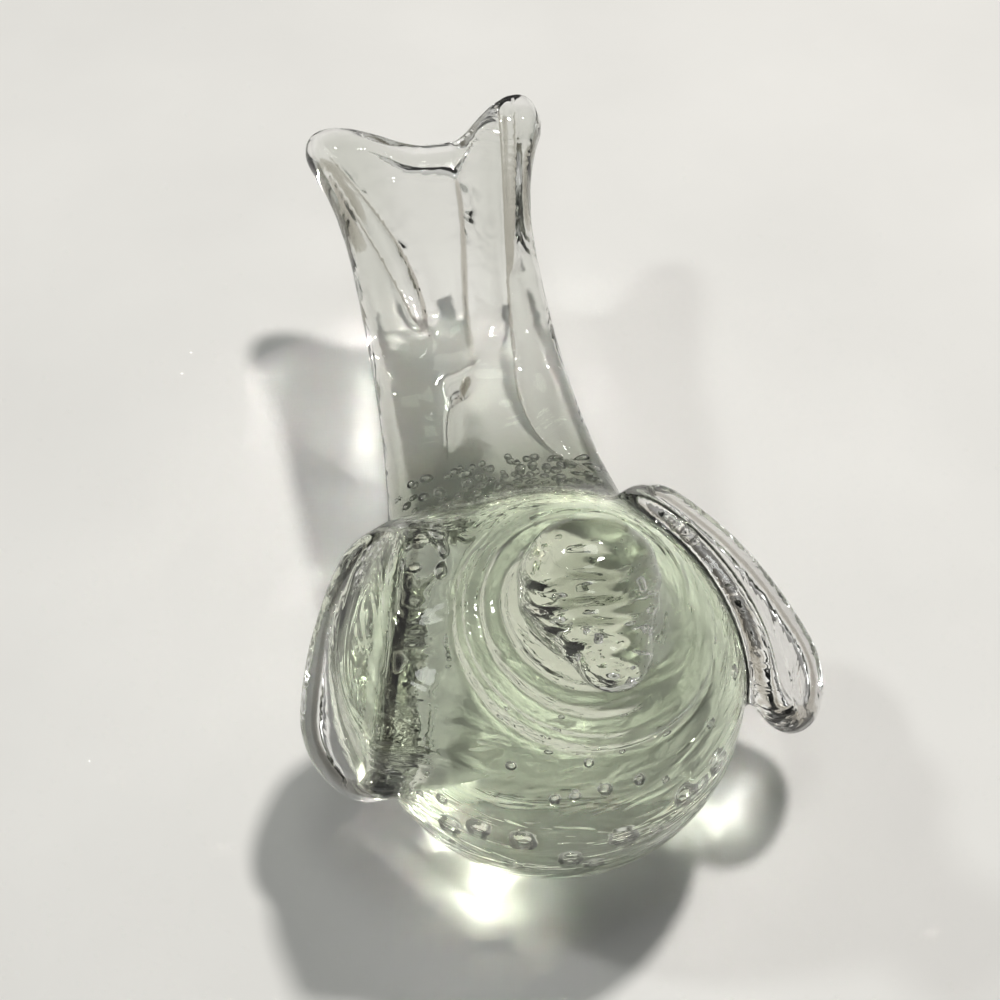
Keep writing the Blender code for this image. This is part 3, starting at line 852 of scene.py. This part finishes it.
def bubble_wall(ball, centre, out, radius, chance):
    """Points on the wall of one bubble that faces outwards through the skin, and the ways they face."""
    side, along = across_axes(out)
    turn = chance.uniform(0.0, math.pi)
    one = side * math.cos(turn) + along * math.sin(turn)
    two = along * math.cos(turn) - side * math.sin(turn)
    axes = np.stack((one, two, out))
    sizes = np.array((chance.uniform(*BUBBLE_STRETCHES), 1.0, BUBBLE_FLATTENING))
    facing = -(ball / sizes) @ axes
    return centre + radius * (ball * sizes) @ axes, facing / np.linalg.norm(facing, axis=1)[:, None]


# Materials

def new_material(name):
    """A material with its nodes and its links."""
    material = bpy.data.materials.new(name)
    material.use_nodes = True
    return material, material.node_tree.nodes, material.node_tree.links


def tinted_depth(nodes, links, colour, density):
    """Glass that takes up light evenly with depth."""
    depth = nodes.new("ShaderNodeVolumeAbsorption")
    depth.inputs["Color"].default_value = (*colour, 1.0)
    depth.inputs["Density"].default_value = density
    links.new(depth.outputs["Volume"], nodes["Material Output"].inputs["Volume"])


def clear_glass(settings):
    """Clear glass, faintly tinted where deep, with slow cords and a worn foot."""
    material, nodes, links = new_material("Clear blown glass")
    shader = nodes["Principled BSDF"]
    shader.inputs["Base Color"].default_value = (1.0, 1.0, 1.0, 1.0)
    shader.inputs["Transmission Weight"].default_value = 1.0
    shader.inputs["IOR"].default_value = 1.5

    place = nodes.new("ShaderNodeTexCoord")
    wound = nodes.new("ShaderNodeMapping")
    wound.inputs["Scale"].default_value = (1.0, 1.0, 4.0)
    cords = nodes.new("ShaderNodeTexNoise")
    cords.inputs["Scale"].default_value = 60.0
    cords.inputs["Detail"].default_value = 2.0
    cords.inputs["Distortion"].default_value = 1.2
    bump = nodes.new("ShaderNodeBump")
    bump.inputs["Strength"].default_value = 0.5
    bump.inputs["Distance"].default_value = 1.1 * MM
    links.new(place.outputs["Object"], wound.inputs["Vector"])
    links.new(wound.outputs["Vector"], cords.inputs["Vector"])
    links.new(cords.outputs["Fac"], bump.inputs["Height"])
    links.new(bump.outputs["Normal"], shader.inputs["Normal"])

    split = nodes.new("ShaderNodeSeparateXYZ")
    foot = nodes.new("ShaderNodeMapRange")
    foot.inputs["From Min"].default_value = 0.2 * MM
    foot.inputs["From Max"].default_value = 1.2 * MM
    foot.inputs["To Min"].default_value = 0.35
    foot.inputs["To Max"].default_value = 0.0
    links.new(place.outputs["Object"], split.inputs["Vector"])
    links.new(split.outputs["Z"], foot.inputs["Value"])
    links.new(foot.outputs["Result"], shader.inputs["Roughness"])
    tinted_depth(nodes, links, settings.clear_tint, settings.clear_density)
    return material


def inner_glass(name, tint, density):
    """Glass fused inside the clear: no surface of its own to see, only its tint."""
    material, nodes, links = new_material(name)
    shader = nodes["Principled BSDF"]
    shader.inputs["Base Color"].default_value = (1.0, 1.0, 1.0, 1.0)
    shader.inputs["Roughness"].default_value = 0.0
    shader.inputs["Transmission Weight"].default_value = 1.0
    shader.inputs["IOR"].default_value = 1.0
    tinted_depth(nodes, links, tint, density)
    return material


def pale_floor(settings):
    """A pale matt floor with faint cloudy marks."""
    material, nodes, links = new_material("Pale floor")
    shader = nodes["Principled BSDF"]
    shader.inputs["Roughness"].default_value = 0.6
    shader.inputs["Specular IOR Level"].default_value = 0.2
    place = nodes.new("ShaderNodeTexCoord")
    clouds = nodes.new("ShaderNodeTexNoise")
    clouds.inputs["Scale"].default_value = 14.0
    clouds.inputs["Detail"].default_value = 5.0
    tone = nodes.new("ShaderNodeValToRGB")
    colour = settings.floor_colour
    tone.color_ramp.elements[0].position = 0.3
    tone.color_ramp.elements[0].color = (*[0.95 * part for part in colour], 1.0)
    tone.color_ramp.elements[1].position = 0.7
    tone.color_ramp.elements[1].color = (*[1.03 * part for part in colour], 1.0)
    links.new(place.outputs["Object"], clouds.inputs["Vector"])
    links.new(clouds.outputs["Fac"], tone.inputs["Fac"])
    links.new(tone.outputs["Color"], shader.inputs["Base Color"])
    return material


def combine(nodes, links, operation, one, other):
    """Two values combined by a node; each is another node's output or a number."""
    node = nodes.new("ShaderNodeMath")
    node.operation = operation
    for socket, value in zip(node.inputs, (one, other)):
        if isinstance(value, float):
            socket.default_value = value
        else:
            links.new(value, socket)
    return node.outputs["Value"]


def room_light(settings):
    """Even dim light from the room, and a pale backdrop behind the floor for the camera and the glass."""
    world = bpy.data.worlds.new("Room")
    world.use_nodes = True
    nodes, links = world.node_tree.nodes, world.node_tree.links
    room = nodes["Background"]
    room.inputs["Color"].default_value = (0.97, 0.98, 1.0, 1.0)
    room.inputs["Strength"].default_value = settings.sky_strength

    place = nodes.new("ShaderNodeTexCoord")
    split = nodes.new("ShaderNodeSeparateXYZ")
    height = nodes.new("ShaderNodeMapRange")
    height.interpolation_type = "SMOOTHSTEP"
    height.inputs["From Min"].default_value = 0.10
    height.inputs["From Max"].default_value = 0.55
    height.inputs["To Min"].default_value = 0.25
    height.inputs["To Max"].default_value = 0.75
    links.new(place.outputs["Generated"], split.inputs["Vector"])
    links.new(split.outputs["Z"], height.inputs["Value"])
    path = nodes.new("ShaderNodeLightPath").outputs
    backdrop = nodes.new("ShaderNodeBackground")
    backdrop.inputs["Color"].default_value = (*settings.floor_colour, 1.0)
    strength = combine(nodes, links, "MAXIMUM", height.outputs["Result"], path["Is Camera Ray"])
    links.new(strength, backdrop.inputs["Strength"])

    # The backdrop is there for the camera and what glass shows it, and not for light that left the floor
    seen = path["Is Camera Ray"]
    for kind in ("Is Glossy Ray", "Is Transmission Ray"):
        seen = combine(nodes, links, "MAXIMUM", seen, path[kind])
    before_floor = combine(nodes, links, "LESS_THAN", path["Diffuse Depth"], 0.5)
    mix = nodes.new("ShaderNodeMixShader")
    links.new(combine(nodes, links, "MULTIPLY", seen, before_floor), mix.inputs["Fac"])
    links.new(room.outputs["Background"], mix.inputs[1])
    links.new(backdrop.outputs["Background"], mix.inputs[2])
    links.new(mix.outputs["Shader"], nodes["World Output"].inputs["Surface"])
    return world


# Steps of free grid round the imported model, and each inner glass's step as a share of the skin's
GRID_MARGIN = 3.0
CORE_STEPS = 2.0
STRAND_AND_SHADE_STEPS = 0.75


def add_glass(context, name, field, step, material, nodes):
    """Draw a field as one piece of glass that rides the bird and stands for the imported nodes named."""
    margin = GRID_MARGIN * step
    low = np.array(cad_box[0]) - margin
    high = np.array(cad_box[1]) + margin
    points, faces, outward = surface(field, low, high, step)
    if not len(faces):
        raise RuntimeError(f"{name} has no surface on this grid")
    mesh = bpy.data.meshes.new(name)
    fill_mesh(mesh, points, [faces], outward)
    mesh.materials.append(material)
    thing = bpy.data.objects.new(name, mesh)
    context.scene.collection.objects.link(thing)
    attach(thing, "root")
    if nodes:
        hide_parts(*nodes)


class GLASSBIRD_OT_core(bpy.types.Operator):
    """Gather the tinted glass that lies inside the body, the collar, the head, the tail and the wings, part
    of it painted shade
    """

    bl_idname = "glassbird.core"
    bl_label = "Gather the Core"

    def execute(self, context):
        settings = context.scene.glass_bird
        step = settings.skin_step
        green = inner_glass("Green blown glass", settings.green_tint, settings.green_density)
        # The smoky and the brownish glass also paint shade into the tail, the head and the wings' rims
        smoke_and_shade = inner_glass("Smoky glass and painted shade", settings.smoke_and_shade_tint, settings.smoke_and_shade_density)
        strands_and_shade = inner_glass("Brownish strands and painted shade", settings.strand_and_shade_tint, settings.strand_and_shade_density)
        coarse, fine = CORE_STEPS * step, STRAND_AND_SHADE_STEPS * step
        add_glass(context, "green_core", core_field, coarse, green, CORE_NODES)
        add_glass(context, "smoky_core", smoke_and_painted_shade_field, step, smoke_and_shade, ())
        add_glass(context, "tail_folds", strands_and_painted_shade_field, fine, strands_and_shade, ())
        return {"FINISHED"}


class GLASSBIRD_OT_glass(bpy.types.Operator):
    """Blow the clear glass of the body, collar, head, tail and wings as one fused piece"""

    bl_idname = "glassbird.glass"
    bl_label = "Blow the Glass"

    def execute(self, context):
        settings = context.scene.glass_bird

        def field(points):
            return bird_field(points, settings.waviness)

        clear = clear_glass(settings)
        add_glass(context, "glass_bird", field, settings.skin_step, clear, CLEAR_NODES)
        return {"FINISHED"}


class GLASSBIRD_OT_bubbles(bpy.types.Operator):
    """Trap rows of bubbles in the body and tiny ones at the roots of the tail and the wings"""

    bl_idname = "glassbird.bubbles"
    bl_label = "Trap the Bubbles"

    def execute(self, context):
        settings = context.scene.glass_bird
        bird = context.scene.objects.get("glass_bird")
        if bird is None:
            raise RuntimeError("Blow the glass before its bubbles")
        chance = np.random.default_rng(CHANCE_START)
        bubbles = row_bubbles(settings.bubble_radius, chance)
        bubbles += seed_bubbles(settings.seed_count, chance)

        mesh = bird.data
        points = [np.array([vertex.co[:] for vertex in mesh.vertices])]
        outward = [np.array([corner.vector[:] for corner in mesh.vertex_normals])]
        faces = [np.array([face.vertices[:] for face in mesh.polygons])]
        ball, ball_faces = refined_ball()
        count = len(points[0])
        for centre, out, radius in bubbles:
            wall, facing = bubble_wall(ball, centre, out, radius, chance)
            points.append(wall)
            outward.append(facing)
            faces.append(ball_faces + count)
            count += len(ball)
        fill_mesh(mesh, np.concatenate(points), faces, np.concatenate(outward))
        return {"FINISHED"}


# Camera: where it looks from, in degrees and metres, and where the body's centre falls in a 1000 px picture
CAMERA_AZIMUTH = -12.0
CAMERA_ELEVATION = 50.0
CAMERA_DISTANCE = 0.300
PIXELS_PER_RADIAN = 1920.0
BODY_PIXEL = (552.0, 684.0)
PICTURE_SIZE = 1000.0
SENSOR = 36.0
NEAREST_SEEN = 0.01

# The floor, and the colours and distance of the lamps
FLOOR_HALF_WIDTH = 4.0
FLOOR_DROP = 0.05 * MM
WARM = (1.0, 0.975, 0.945)
COOL = (0.97, 1.0, 0.975)
LAMP_DISTANCE = 0.9

# Lamps: the way to each from the body, its width in metres and its colour
KEY_LAMP = ((0.31, 0.32, 0.89), 0.09, WARM)
SECOND_LAMP = ((-0.57, 0.28, 0.77), 0.09, COOL)
FILL_LAMP = ((-0.12, -0.54, 0.83), 0.22, COOL)
CEILING_LAMP = ((0.0, 0.05, 1.0), 0.30, COOL)


def aim(thing, backwards, right):
    """Turn a camera or lamp so that it looks against one direction with another to its right."""
    up = backwards.cross(right)
    turn = Matrix((right, up, backwards)).transposed().to_4x4()
    thing.matrix_world = Matrix.Translation(thing.location) @ turn


def add_lamp(context, name, direction, width, colour, power):
    """A round soft lamp that faces the bird."""
    lamp = bpy.data.lights.new(name, "AREA")
    lamp.shape = "DISK"
    lamp.size = width
    lamp.energy = power
    lamp.color = colour
    thing = bpy.data.objects.new(name, lamp)
    context.scene.collection.objects.link(thing)
    backwards = Vector(direction).normalized()
    thing.location = Vector(BODY_CENTRE) + backwards * LAMP_DISTANCE
    aim(thing, backwards, Vector((0.0, 0.0, 1.0)).cross(backwards).normalized())


def add_floor(context, settings):
    """A wide flat floor just under the bird's foot."""
    shape = bmesh.new()
    bmesh.ops.create_grid(shape, x_segments=1, y_segments=1, size=FLOOR_HALF_WIDTH)
    mesh = bpy.data.meshes.new("floor")
    shape.to_mesh(mesh)
    shape.free()
    mesh.materials.append(pale_floor(settings))
    floor = bpy.data.objects.new("floor", mesh)
    floor.location.z = -FLOOR_DROP
    context.scene.collection.objects.link(floor)


def add_camera(context):
    """The camera, aimed so that the body's centre falls on its place in the picture."""
    azimuth = math.radians(CAMERA_AZIMUTH)
    elevation = math.radians(CAMERA_ELEVATION)
    flat = math.cos(elevation)
    backwards = Vector((math.sin(azimuth) * flat, -math.cos(azimuth) * flat, math.sin(elevation)))
    right = Vector((math.cos(azimuth), math.sin(azimuth), 0.0))
    up = backwards.cross(right)
    camera = bpy.data.cameras.new("camera")
    camera.sensor_width = SENSOR
    camera.lens = SENSOR * PIXELS_PER_RADIAN / PICTURE_SIZE
    camera.clip_start = NEAREST_SEEN
    thing = bpy.data.objects.new("camera", camera)
    context.scene.collection.objects.link(thing)
    per_pixel = CAMERA_DISTANCE / PIXELS_PER_RADIAN
    thing.location = (
        Vector(BODY_CENTRE)
        - right * (BODY_PIXEL[0] - 0.5 * PICTURE_SIZE) * per_pixel
        + up * (BODY_PIXEL[1] - 0.5 * PICTURE_SIZE) * per_pixel
        + backwards * CAMERA_DISTANCE
    )
    aim(thing, backwards, right)
    context.scene.camera = thing


class GLASSBIRD_OT_stage(bpy.types.Operator):
    """Set the floor, the room light, the lamps and the camera"""

    bl_idname = "glassbird.stage"
    bl_label = "Set the Stage"

    def execute(self, context):
        settings = context.scene.glass_bird
        scene = context.scene
        add_floor(context, settings)
        scene.world = room_light(settings)
        add_lamp(context, "key_lamp", *KEY_LAMP, settings.key_power)
        add_lamp(context, "second_lamp", *SECOND_LAMP, settings.second_power)
        add_lamp(context, "fill_lamp", *FILL_LAMP, settings.fill_power)
        add_lamp(context, "ceiling_lamp", *CEILING_LAMP, settings.ceiling_power)
        add_camera(context)
        scene.cycles.sample_clamp_indirect = 0.0
        scene.cycles.blur_glossy = 0.0
        scene.view_settings.view_transform = "Standard"
        return {"FINISHED"}


class GLASSBIRD_PT_panel(bpy.types.Panel):
    """Sidebar panel of the glass bird"""

    bl_idname = "GLASSBIRD_PT_panel"
    bl_label = "Glass Bird"
    bl_space_type = "VIEW_3D"
    bl_region_type = "UI"
    bl_category = "Glass Bird"

    def draw(self, context):
        column = self.layout.column()
        for name in GlassBirdSettings.__annotations__:
            column.prop(context.scene.glass_bird, name)
        for operator in OPERATORS:
            column.operator(operator.bl_idname)


OPERATORS = (GLASSBIRD_OT_core, GLASSBIRD_OT_glass, GLASSBIRD_OT_bubbles, GLASSBIRD_OT_stage)


def register():
    """Make the settings, the operators and the panel known to Blender."""
    for item in (GlassBirdSettings, *OPERATORS, GLASSBIRD_PT_panel):
        bpy.utils.register_class(item)
    bpy.types.Scene.glass_bird = bpy.props.PointerProperty(type=GlassBirdSettings)


def unregister():
    """Take them away again."""
    del bpy.types.Scene.glass_bird
    for item in (GLASSBIRD_PT_panel, *reversed(OPERATORS), GlassBirdSettings):
        bpy.utils.unregister_class(item)


def main():
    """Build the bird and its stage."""
    register()
    bpy.ops.glassbird.core()
    bpy.ops.glassbird.glass()
    bpy.ops.glassbird.bubbles()
    bpy.ops.glassbird.stage()


if __name__ == "__main__":
    main()
